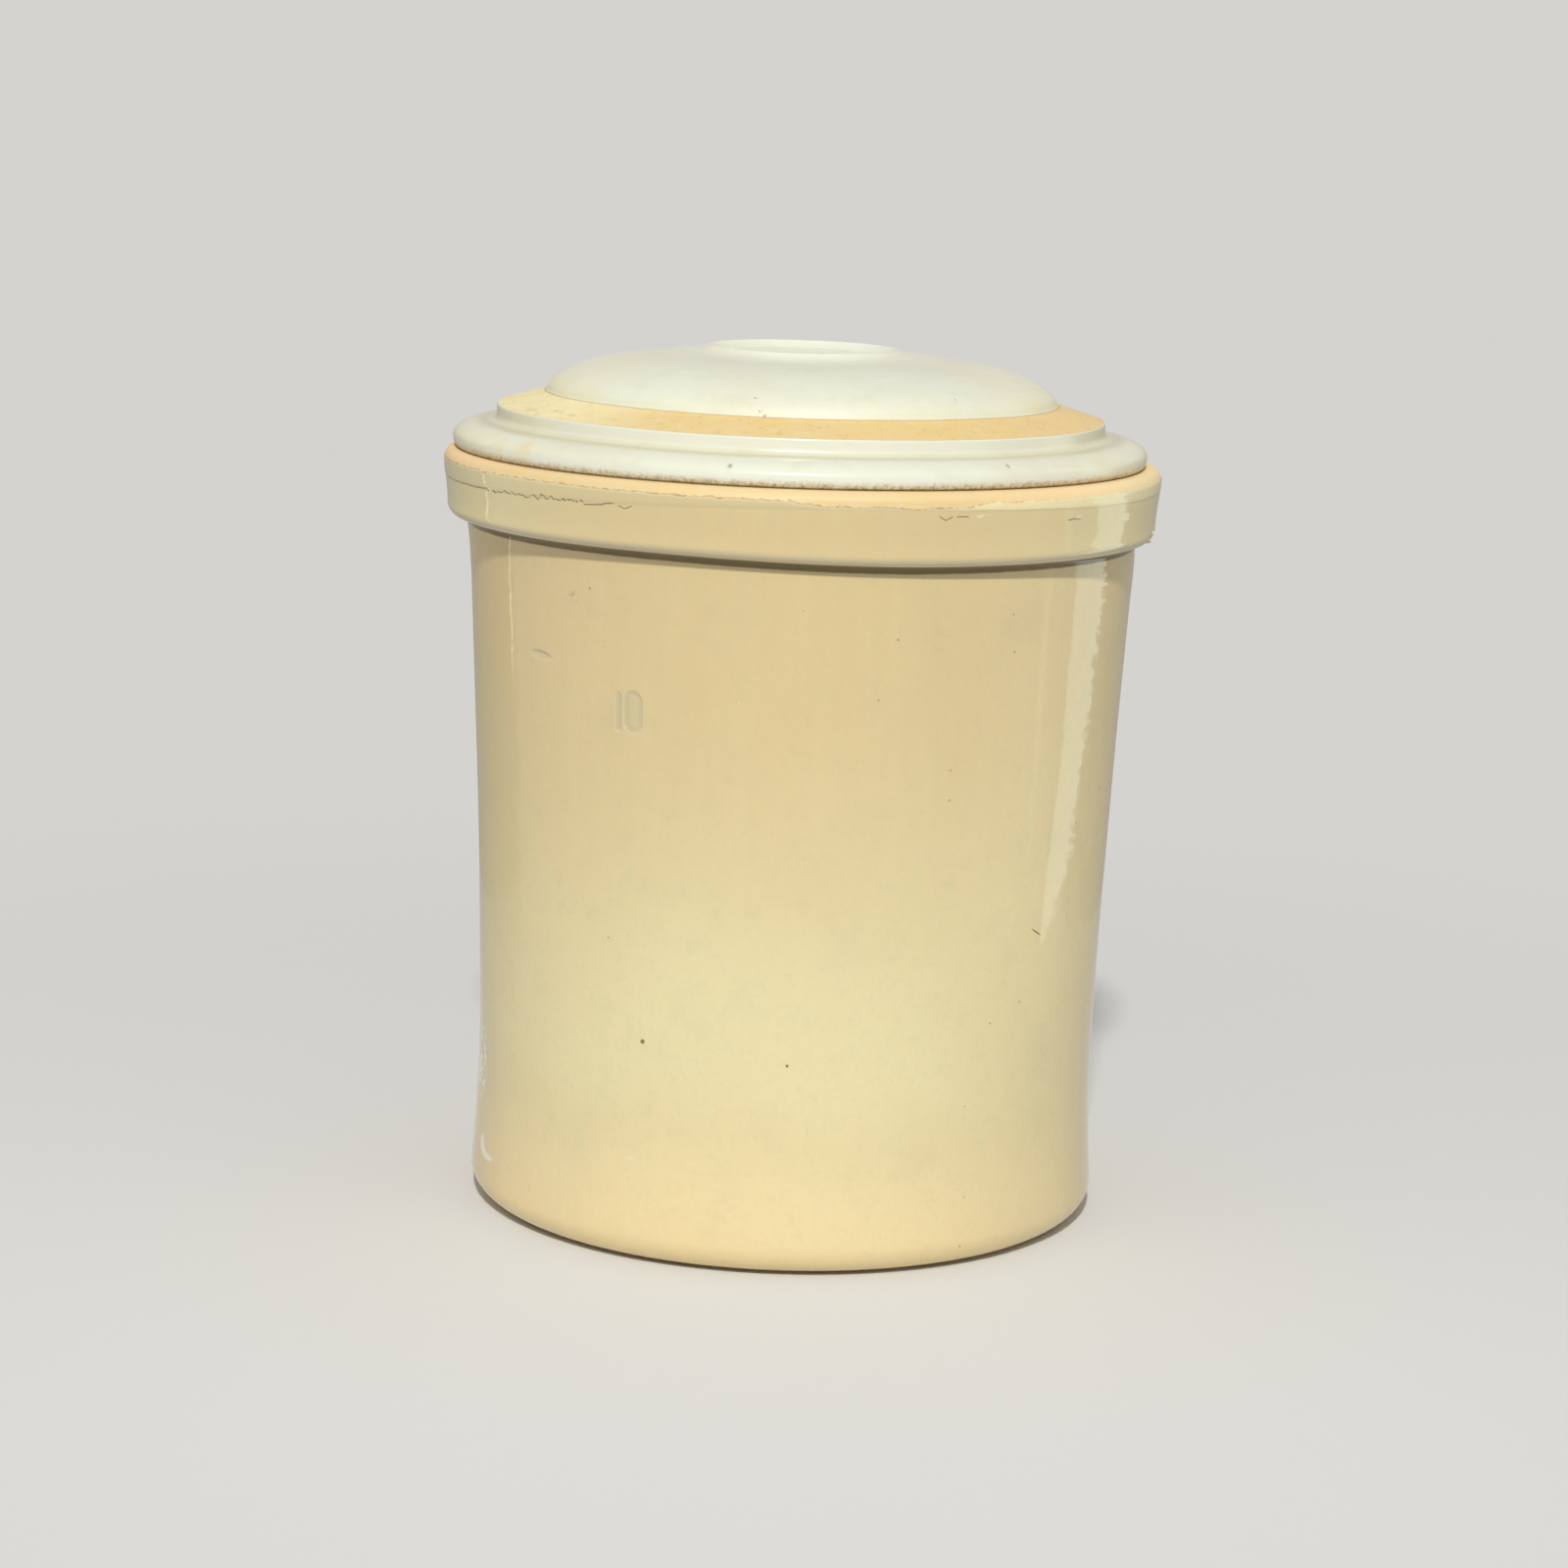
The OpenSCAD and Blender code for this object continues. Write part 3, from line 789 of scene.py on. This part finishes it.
def crock_body(f, s, c):
    """The colour of the crock's glaze: buff, then greener and paler lower down, and peach at the foot."""
    z = f.z + (f.cloud(7.0, 4.0, 0.6) - 0.5) * (90 * MM)
    skin = f.blend(z.rises(235 * MM, 345 * MM), c.green, c.buff)
    skin = f.blend(1 - z.rises(140 * MM, 262 * MM), skin, c.cream)
    skin = f.blend((z - 75 * MM).near(45 * MM) * 0.5, skin, c.green)
    skin = f.blend(1 - z.rises(0.0, 100 * MM), skin, c.peach)
    skin = f.blend(f.side.rises(0.3, 0.8) * (1 - f.z.rises(150 * MM, 230 * MM)) * 0.35, skin, c.green)
    skin = f.blend(f.around.rises(0.3, 0.9) * f.z.rises(60 * MM, 200 * MM) * 0.3, skin, c.peach)
    skin = f.blend(f.side.rises(0.4, 0.8) * f.z.rises(100 * MM, 200 * MM) * 0.22, skin, c.pool)
    # Painted shade: darker glaze low on the left and right flanks stands in for the shade and dark
    # reflections there.
    skin = f.blend(f.flanks(1.0, 1.35) * (0.28 - f.z.rises(110 * MM, 200 * MM) * 0.28), skin, c.toast)
    grain = f.cloud(1.0, 4.0, 0.65, stretch=(70, 70, 5))
    skin = f.blend(grain.rises(0.45, 0.75) * 0.14, skin, c.cream)
    skin = f.blend(f.cloud(24.0, 4.0, 0.6).rises(0.5, 0.75) * 0.14, skin, c.hollow)
    skin = f.blend(f.cloud(90.0, 4.0, 0.7).rises(0.5, 0.75) * 0.16, skin, c.hollow)
    skin = f.blend(f.cloud(320.0, 3.0, 0.7).rises(0.45, 0.7) * 0.12, skin, c.hollow)
    skin = f.blend(f.specks(60.0, 0.06, 0.22, (5, 0, 0)) * 0.5, skin, c.cream)
    skin = f.blend(f.specks(70.0, 0.07, 0.16) * 0.45, skin, c.iron)
    for angle, height, half in BODY_SPECKS:
        speck = f.spot(angle, height * MM, s.waist_r, half * MM, half * MM)
        skin = f.blend(speck * 0.85, skin, c.iron if half > 1 else c.toast)
    nail = f.spot(NAIL_ANGLE, NAIL_Z, s.waist_r, 18 * MM, 9 * MM)
    inner = f.spot(NAIL_ANGLE + 1.6, NAIL_Z + 2.4 * MM, s.waist_r, 18 * MM, 9 * MM)
    nail = (nail - inner).rises(0.1, 0.5)
    skin = f.blend(nail * 0.55, f.blend(nail * 0.9, skin, c.cream), c.pale)
    rub = f.spot(RUB_ANGLE, RUB_Z, s.waist_r, 6 * MM, 0.9 * MM)
    skin = f.blend(rub * 0.2, skin, c.pale)
    scuffed = f.spot(SCUFF_ANGLE, SCUFF_Z, s.waist_r, 16 * MM, 26 * MM)
    skin = f.blend(f.cloud(150.0, 3.0, 0.7).rises(0.5, 0.57) * scuffed * 0.95, skin, c.pale)
    hair = f.spot(HAIR_ANGLE, HAIR_Z, s.waist_r, 5.4 * MM, 0.8 * MM, slope=-0.56)
    return f.blend(hair * 0.75, skin, c.iron)


def crock_finish(s):
    """Glossy buff glaze with a bare peach rim, a cracked fold on the collar and a bare foot."""
    c = linear_colours()
    f = Finish("buff_glaze")
    crock_h, collar_z = s.neck_z - s.neck_rise, collar_low(s)
    skin = crock_body(f, s, c)

    a = f.angle
    jag = (f.cloud(95.0, 4.0, 0.7) - 0.5) * (3.0 * MM)
    low_z = f.z + f.side.rises(DROOP_START, DROOP_END) * s.droop - DROOP_LIFT
    outside = f.radius.rises(s.collar_r - s.collar_wall - 1 * MM, s.collar_r - s.collar_wall)
    face = outside * low_z.rises(collar_z, collar_z + 4 * MM)
    dip = f.arc_share(DIP_START, DIP_END, 8)
    edge = f.z + jag * 1.4 - (s.bare_z - dip * s.bare_dip)
    bare = edge.rises(-0.25 * MM, 0.35 * MM) * outside
    fold = f.z - (s.fold_z + f.side * s.fold_lean + (a - HUMP_AT).near(HUMP_HALF) * s.fold_hump)
    skin = f.blend(face * f.around.rises(0.1, 1.0) * 0.8, skin, c.green)
    skin = f.blend(face * f.around.rises(0.5, 1.0) * 0.5, skin, c.cream)
    skin = f.blend(face * f.around.rises(0.7, 1.2) * 0.35, skin, c.pool)
    strip = (fold + jag * 0.3).rises(-0.1 * MM, 0.4 * MM) * face
    right = f.side.rises(0.33, 0.5)
    skin = f.blend(strip * (1 - right) * 0.2, skin, c.hollow)
    skin = f.blend(strip * (right * 0.8 + f.side.rises(0.7, 0.9) * 0.15), skin, c.pool)
    skin = f.blend((fold + jag * 0.3 + 0.3 * MM).near(0.7 * MM) * face * 0.4, skin, c.hollow)
    torn = f.broken(fold, (0.0, 0.0, 0.0)) - f.broken(fold, (0.34 * MM, -0.3 * MM, 0.5 * MM))
    zigzag = f.arc_share(-58, -34.8, 0.3)
    sag = (SAG_END - a).either(0.0) * (SAG / (SAG_END - SAG_START)) * (1 - zigzag)
    sag = sag * a.rises(SAG_START - 0.01, SAG_START)
    crack = (fold + jag * 0.8 + sag).near(0.55 * MM) * (1 - zigzag)
    crack = crack.either(torn.math("ABSOLUTE") * zigzag)
    crack = crack * f.arc_share(-85, -29, 1).either(f.arc_share(128, 161, 3))
    for angle, fall, slope, half in NICKS:
        off = (a - math.radians(angle)).math("ABSOLUTE")
        nick = (fold + (fall * MM + jag * 0.3) - off * slope).near(0.5 * MM)
        crack = crack.either(nick * (1 - off.rises(math.radians(half * 0.8), math.radians(half))))
    skin = f.blend(crack * face * 0.85, skin, c.iron)
    for angle, height, half in LIGHT_NICKS:
        nick = f.spot(angle, height * MM, s.collar_r, half * MM, 0.8 * MM, slope=0.2)
        skin = f.blend(nick * 0.6, skin, c.pale)

    peach = f.blend(f.cloud(30.0, 4.0, 0.65).rises(0.35, 0.7) * 0.5, c.bare_rim, c.bare_ring)
    peach = f.blend(f.side.rises(0.3, 0.9), peach, c.blush)
    peach = f.blend((-f.side).rises(0.7, 0.95) * 0.9, peach, c.blush)
    peach = f.blend(f.side.rises(0.6, 0.9) * 0.35, peach, c.pool)
    peach = f.blend(f.cloud(80.0, 4.0, 0.75).rises(0.5, 0.72) * 0.4, peach, c.cream)
    skin = f.blend(bare, skin, peach)
    crust = f.cloud(260.0, 3.0, 0.7).rises(0.4, 0.6) * 0.9 * (1 - f.side.rises(0.3, 0.8) * 0.7)
    skin = f.blend((edge + 0.1 * MM).near(0.65 * MM) * outside * crust, skin, c.toast)
    skin = f.blend((edge + 1.1 * MM).near(0.7 * MM) * outside * 0.4, skin, c.cream)
    # Painted sheen: a greyish band along the collar's lower rounding stands in for its reflection.
    lip = (low_z - (collar_z + 2.0 * MM)).near(4.0 * MM) * f.radius.rises(s.collar_r - 10 * MM,
                                                                          s.collar_r - 6 * MM)
    skin = f.blend(lip * 0.7, skin, c.ash)
    # Painted shadow: a dark iron band on the body just under the collar's overhang, where the collar's
    # shade falls.
    below = f.radius.rises(s.waist_r, s.waist_r + 6 * MM) * (1 - f.radius.rises(s.collar_r - 10 * MM,
                                                                               s.collar_r - 7 * MM))
    under = 1 - (low_z + jag * 0.25 - (collar_z - 1.7 * MM)).math("ABSOLUTE").rises(2.2 * MM, 3.2 * MM)
    skin = f.blend(under * below * 0.88, skin, c.iron)
    hollow = f.node("ShaderNodeAttribute", {"attribute_name": "hollow"}, output="Fac")
    skin = f.blend(hollow.rises(0.05, 0.45) * 0.6, skin, c.hollow)
    chip = f.spot(CHIP_ANGLE, CHIP_Z, s.collar_r, 5.0 * MM, 3.0 * MM)
    skin = f.blend(chip * 0.7, skin, c.toast)
    for angle, height, half in CRUMBS:
        crumb = f.spot(angle, height * MM, s.collar_r, 1.8 * half * MM, 1.8 * half * MM)
        skin = f.blend(crumb, skin, c.pale)

    neck = (1 - outside) * f.z.rises(crock_h - 3 * MM, crock_h + 2 * MM)
    foot = 1 - (f.z + jag * 0.4).rises(s.foot_edge_h, s.foot_edge_h + 0.6 * MM)
    clay = f.blend(f.cloud(120.0, 3.0, 0.7), c.clay, c.bare_rim)
    skin = f.blend(foot.either(neck), skin, clay)
    # Painted shade: a faint dark iron line along the top of the bare foot edge, where the step's shade
    # falls.
    skin = f.blend((f.z + jag * 0.5 - s.foot_edge_h - 0.7 * MM).near(0.9 * MM) * 0.25, skin, c.iron)

    dry = bare.either(foot).either(neck)
    rough = 0.03 + f.cloud(14.0, 3.0, 0.5) * 0.04 + dry * 0.5
    height = f.cloud(12.0, 2.0, 0.5) * 0.4 + f.cloud(55.0, 3.0, 0.6) * 0.12 - crack * 0.2
    height = height + f.cloud(600.0, 2.0, 0.6) * dry * 0.08
    return f.done(skin, rough, height)


def lid_finish(s):
    """Glossy white glaze with a bare buff ring, broken to brown under the flange's edge."""
    c = linear_colours()
    f = Finish("white_glaze")
    out_r = s.seat_r + s.flange_edge - s.flange_w
    in_r = out_r - s.ring_w
    top_z = s.seat_z + s.flange_h + s.step_h
    aside = f.x + s.aside
    radius = (aside * aside + f.y * f.y).math("SQRT")
    skin = f.blend(f.cloud(12.0, 4.0, 0.6).rises(0.4, 0.68), c.white, c.white_warm)
    skin = f.blend(f.wheel(radius, 230.0).rises(0.5, 0.8) * 0.06, skin, c.clay)
    skin = f.blend(f.cloud(48.0, 4.0, 0.7).rises(0.48, 0.72) * 0.14, skin, c.hollow)
    skin = f.blend(f.specks(70.0, 0.07, 0.16) * 0.45, skin, c.iron)
    for angle, height, half in STAINS:
        stain = f.spot(angle, height * MM, s.seat_r, half * MM, half * 0.7 * MM)
        skin = f.blend(stain * f.cloud(60.0, 5.0, 0.75).rises(0.3, 0.7) * 0.5, skin, c.bare_ring)

    jag = (f.cloud(90.0, 4.0, 0.7) - 0.5) * (2.4 * MM)
    outer = (out_r - 1.1 * MM) - radius + jag * 0.5
    inner = radius - (in_r + 0.4 * MM) + jag * 0.25
    above = f.z.rises(top_z - 2.2 * MM, top_z - 1.4 * MM)
    ring = outer.rises(-0.25 * MM, 0.3 * MM) * inner.rises(-0.2 * MM, 0.25 * MM) * above
    # Painted highlight: pale bands along the flange's outer roll and the step's upper edge, where the
    # glaze catches the light.
    edges = (f.z - (s.seat_z + 5 * MM)).near(4 * MM).either(
        (radius - out_r).near(2.5 * MM) * f.z.rises(top_z - 8 * MM, top_z - 6 * MM))
    skin = f.blend(edges * 0.7, skin, c.pale)
    skin = f.blend(f.flanks(0.7, 1.15) * 0.3, skin, c.pool)
    skin = f.blend((1 - radius.rises(s.crown_r - 5 * MM, s.crown_r + 60 * MM)) * 0.4, skin, c.pale)
    skin = f.blend((radius - (s.crown_r + 25 * MM)).near(35 * MM) * 0.2, skin, c.hollow)
    buff = f.blend(f.cloud(34.0, 4.0, 0.65).rises(0.35, 0.72) * 0.6, c.bare_ring, c.bare_rim)
    buff = f.blend(f.side.rises(0.65, 0.95) * 0.3, buff, c.blush)
    # Painted sheen: the bare ring's left end is made paler, standing in for a grazing reflection there.
    buff = f.blend((-f.side).rises(0.4, 0.88) * 0.9, buff, c.pool)
    buff = f.blend(f.cloud(100.0, 5.0, 0.75).rises(0.5, 0.62) * 0.5, buff, c.cream)
    buff = f.blend(f.cloud(190.0, 4.0, 0.75).rises(0.53, 0.68) * 0.3, buff, c.toast)
    skin = f.blend(ring, skin, buff)
    skin = f.blend((inner - 0.3 * MM).near(0.8 * MM) * above * 0.55, skin, c.toast)
    skin = f.blend((radius - (out_r + 1.5 * s.cove)).near(9 * MM) * 0.75, skin, c.hollow)

    speckle = f.cloud(420.0, 3.0, 0.7)
    edge = f.radius.rises(s.skirt_r + 1 * MM, s.skirt_r + 3 * MM)
    low = (1 - (f.z + jag * 1.2 - s.seat_z).rises(0.6 * MM, 5.6 * MM)) * edge
    skin = f.blend(low * (speckle.rises(0.35, 0.6) * 0.55 + 0.2), skin, c.toast)
    skin = f.blend(low * speckle.rises(0.52, 0.7) * 0.5, skin, c.iron)
    # Painted shadow: a dark iron line along the flange's lowest edge stands in for the shade where the
    # lid sits on the rim.
    contact = (1 - (f.z - s.seat_z).rises(0.5 * MM, 1.7 * MM)) * edge
    skin = f.blend(contact * 0.75, skin, c.iron)
    hidden = 1 - f.z.rises(s.seat_z - 1 * MM, s.seat_z + 0.2 * MM)
    clay = f.blend(f.cloud(120.0, 3.0, 0.7), c.clay, c.bare_rim)
    skin = f.blend(hidden, skin, clay)
    hollow = f.node("ShaderNodeAttribute", {"attribute_name": "hollow"}, output="Fac")
    skin = f.blend(hollow.rises(0.1, 0.5) * (1 - ring) * 0.6, skin, c.iron)
    skin = f.blend(hollow.rises(0.06, 0.4) * ring * 0.3, skin, c.toast)

    dry = ring.either(hidden)
    rough = 0.16 + f.cloud(16.0, 3.0, 0.5) * 0.12 + dry * 0.45 + low * 0.25
    rough = rough + (radius - in_r).near(9 * MM) * (1 - ring) * 0.3
    height = f.cloud(14.0, 2.0, 0.5) * 0.5 + f.cloud(60.0, 3.0, 0.6) * 0.2
    height = height + f.wheel(radius, 260.0, 1.0) * 0.04 - ring * 0.25
    height = height + speckle * low * 0.15 + f.cloud(600.0, 2.0, 0.6) * dry * 0.08
    return f.done(skin, rough, height, specular=0.42)


def clay_finish():
    """Bare fired clay, matt and gritty, with iron specks."""
    c = linear_colours()
    f = Finish("bare_stoneware")
    skin = f.blend(f.cloud(14.0, 4.0, 0.65).rises(0.35, 0.7), c.clay, c.bare_rim)
    skin = f.blend(f.specks(120.0, 0.16, 0.5) * 0.6, skin, c.iron)
    grit = f.cloud(420.0, 4.0, 0.7)
    return f.done(skin, 0.68 + grit * 0.18, grit * 0.1 + f.cloud(60.0, 3.0, 0.6) * 0.5, specular=0.3)


def linear_colours():
    """The sidebar's colours, as a shader takes them."""
    shown = values("jar_colours")
    return types.SimpleNamespace(**{name: screen(getattr(shown, name))
                                    for name in JarColours.__annotations__})


# The studio

CAMERA_AT = Vector((0.0, -2.3088, 0.6582))
CAMERA_YAW, CAMERA_PITCH, CAMERA_ROLL = (math.radians(a) for a in (-0.143, 10.185, 1.965))
FOCAL_PIXELS, PHOTO_PIXELS, SENSOR = 4118.2, 1600, 36.0
SKY, BACKGROUND = 0.43, 0.66
SKY_TINT = (1.0, 0.985, 0.955, 1.0)
FLOOR_R, FADE_START, FADE_END = 3.0, 0.34, 1.25


def camera_turn():
    """The camera's axes, from its yaw, pitch and roll."""
    right = Vector((math.cos(CAMERA_YAW), -math.sin(CAMERA_YAW), 0))
    ahead = Vector((math.sin(CAMERA_YAW) * math.cos(CAMERA_PITCH),
                    math.cos(CAMERA_YAW) * math.cos(CAMERA_PITCH), -math.sin(CAMERA_PITCH)))
    up = right.cross(ahead)
    across = math.cos(CAMERA_ROLL) * right + math.sin(CAMERA_ROLL) * up
    upright = math.cos(CAMERA_ROLL) * up - math.sin(CAMERA_ROLL) * right
    return Matrix((across, upright, -ahead)).transposed()


def lamp(name, at, towards, width, watts):
    """A flat square lamp that no camera sees."""
    light = bpy.data.lights.new(name, "AREA")
    light.size, light.energy = width, watts
    made = bpy.data.objects.new(name, light)
    made.location = at
    made.rotation_euler = (Vector(towards) - Vector(at)).to_track_quat("-Z", "Y").to_euler()
    made.visible_camera = False
    bpy.context.scene.collection.objects.link(made)


def floor():
    """A pale round floor that fades into the background."""
    bm = bmesh.new()
    bmesh.ops.create_circle(bm, cap_ends=True, segments=96, radius=FLOOR_R)
    mesh = bpy.data.meshes.new("floor")
    bm.to_mesh(mesh)
    bm.free()
    made = bpy.data.objects.new("floor", mesh)
    bpy.context.scene.collection.objects.link(made)
    f = Finish("floor")
    ground = linear_colours().ground
    f.done(f.blend(f.cloud(2.0) * 0.1, ground, [c * 0.97 for c in ground[:3]] + [1.0]),
           f.cloud(4.0) * 0.05 + 0.75, f.cloud(200.0) * 0.02, specular=0.0)
    clear = f.node("ShaderNodeBsdfTransparent")
    faded = f.node("ShaderNodeMixShader", {}, {0: f.radius.rises(FADE_START, FADE_END),
                                               1: Tap(f, f.shader.outputs[0]), 2: clear})
    f.tree.links.new(faded.socket, f.tree.nodes["Material Output"].inputs["Surface"])
    mesh.materials.append(f.material)


def sky():
    """A pale background, with less light than it shows."""
    world = bpy.data.worlds.new("studio")
    bpy.context.scene.world = world
    world.use_nodes = True
    n = Nodes(world.node_tree)
    path = n.node("ShaderNodeLightPath", output="Is Camera Ray")
    seen = path.either(path.also("Is Glossy Ray")).either(path.also("Is Transmission Ray"))
    n.tree.links.new((seen * (BACKGROUND - SKY) + SKY).socket,
                     n.tree.nodes["Background"].inputs["Strength"])
    n.tree.nodes["Background"].inputs["Color"].default_value = SKY_TINT


PANEL_GREEN, PANEL_WARM = (0.78, 0.88, 0.82, 1.0), (1.0, 0.90, 0.74, 1.0)
DARK = (1.0, 0.95, 0.85, 1.0)


def panel(name, near, far, light, strength, shape):
    """An upright panel through two places, which only shows in the glaze, where shape(f) is 1.

    Its own X runs from near to far and its own Y is the height.
    """
    bm = bmesh.new()
    bmesh.ops.create_grid(bm, x_segments=1, y_segments=1, size=1.0)
    mesh = bpy.data.meshes.new(name)
    bm.to_mesh(mesh)
    bm.free()
    made = bpy.data.objects.new(name, mesh)
    bpy.context.scene.collection.objects.link(made)
    along, up = (Vector(far) - Vector(near)).normalized(), Vector((0, 0, 1))
    turn = Matrix((along, up, along.cross(up))).transposed()
    made.matrix_world = Matrix.Translation(near) @ turn.to_4x4()
    made.visible_camera = made.visible_diffuse = made.visible_shadow = False
    f = Finish(name)
    glowing = f.node("ShaderNodeEmission", {}, {"Color": light, "Strength": strength})
    clear = f.node("ShaderNodeBsdfTransparent")
    shown = f.node("ShaderNodeMixShader", {}, {0: shape(f), 1: clear, 2: glowing})
    f.tree.links.new(shown.socket, f.tree.nodes["Material Output"].inputs["Surface"])
    mesh.materials.append(f.material)


def wedge(f):
    """A tall pane with a ragged right edge that comes to a point below, and a faint line beside it."""
    top = f.y.rises(0.29, 0.33)
    left = top * -0.06 - (1 - f.y.rises(0.04, 0.16)) * 0.035
    right = (f.wheel(f.y, 26.0) * 0.04 + 0.19).math("MINIMUM", f.y * 0.47 + 0.096)
    right = right.math("MINIMUM", f.y * 2.5 - 0.086) - top * 0.05
    right = right + (f.wheel(f.y, 150.0, 5.0) - 0.5) * 0.18
    inside = (f.x - left).rises(0, 0.003) * (right - f.x).rises(0, 0.003)
    inside = inside * ((right - f.x - 0.005).near(0.007) * 0.3 + 0.7)
    return inside + (f.x + 0.167).near(0.03) * f.y.rises(0.06, 0.12) * 0.35


def streak(f):
    """A thin upright line of light."""
    return f.x.near(0.008) * f.y.rises(0.18, 0.23) * (1 - f.y.rises(0.36, 0.38))


def flag(f):
    """A dark screen with soft edges, for the sides of the glaze to mirror."""
    return f.x.rises(-0.16, -0.06) * (1 - f.x.rises(0.8, 0.95)) * (1 - f.y.rises(0.45, 0.6))


class JAR_OT_stage(bpy.types.Operator):
    """Set the camera, the pale floor and the soft lamps"""

    bl_idname = "jar.stage"
    bl_label = "Stage"

    def execute(self, context):
        camera = bpy.data.cameras.new("camera")
        camera.sensor_width, camera.lens = SENSOR, FOCAL_PIXELS / PHOTO_PIXELS * SENSOR
        made = bpy.data.objects.new("camera", camera)
        context.scene.collection.objects.link(made)
        made.matrix_world = Matrix.Translation(CAMERA_AT) @ camera_turn().to_4x4()
        context.scene.camera = made
        floor()
        sky()
        lamp("key", (-0.15, -7.05, 6.19), (0, 0, 0.25), 0.48, 590)
        panel("right_panel", (0.70, 0.075, 0.0), (0.62, 0.30, 0.0), PANEL_GREEN, 2.5, wedge)
        panel("left_panel", (-0.66, 0.188, 0.0), (-0.62, 0.30, 0.0), PANEL_WARM, 3.0, streak)
        for side in (-1, 1):
            panel("flag", (side * 0.80, 0.36, 0.0), (side * 0.35, 0.93, 0.0), DARK, 0.4, flag)
        context.scene.view_settings.view_transform = "Standard"
        return {"FINISHED"}


class JAR_PT_sidebar(bpy.types.Panel):
    """Lists the sizes and colours, and the steps that build the jar"""

    bl_idname = "JAR_PT_sidebar"
    bl_label = "Pickle jar"
    bl_space_type = "VIEW_3D"
    bl_region_type = "UI"
    bl_category = "Pickle jar"

    def draw(self, context):
        for step in STEPS:
            self.layout.operator(step.bl_idname)
        for name, group in GROUPS.items():
            box = self.layout.box()
            box.label(text=name.removeprefix("jar_").capitalize())
            for prop in group.__annotations__:
                box.prop(getattr(context.scene, name), prop)


STEPS = (JAR_OT_stage, JAR_OT_crock, JAR_OT_lid, JAR_OT_weights)


def register():
    for cls in (*GROUPS.values(), *STEPS, JAR_PT_sidebar):
        bpy.utils.register_class(cls)
    for name, group in GROUPS.items():
        setattr(bpy.types.Scene, name, PointerProperty(type=group))


def unregister():
    for name in GROUPS:
        delattr(bpy.types.Scene, name)
    for cls in (JAR_PT_sidebar, *STEPS, *GROUPS.values()):
        bpy.utils.unregister_class(cls)


def main():
    register()
    bpy.ops.jar.stage()
    bpy.ops.jar.crock()
    bpy.ops.jar.lid()
    bpy.ops.jar.weights()


if __name__ == "__main__":
    main()
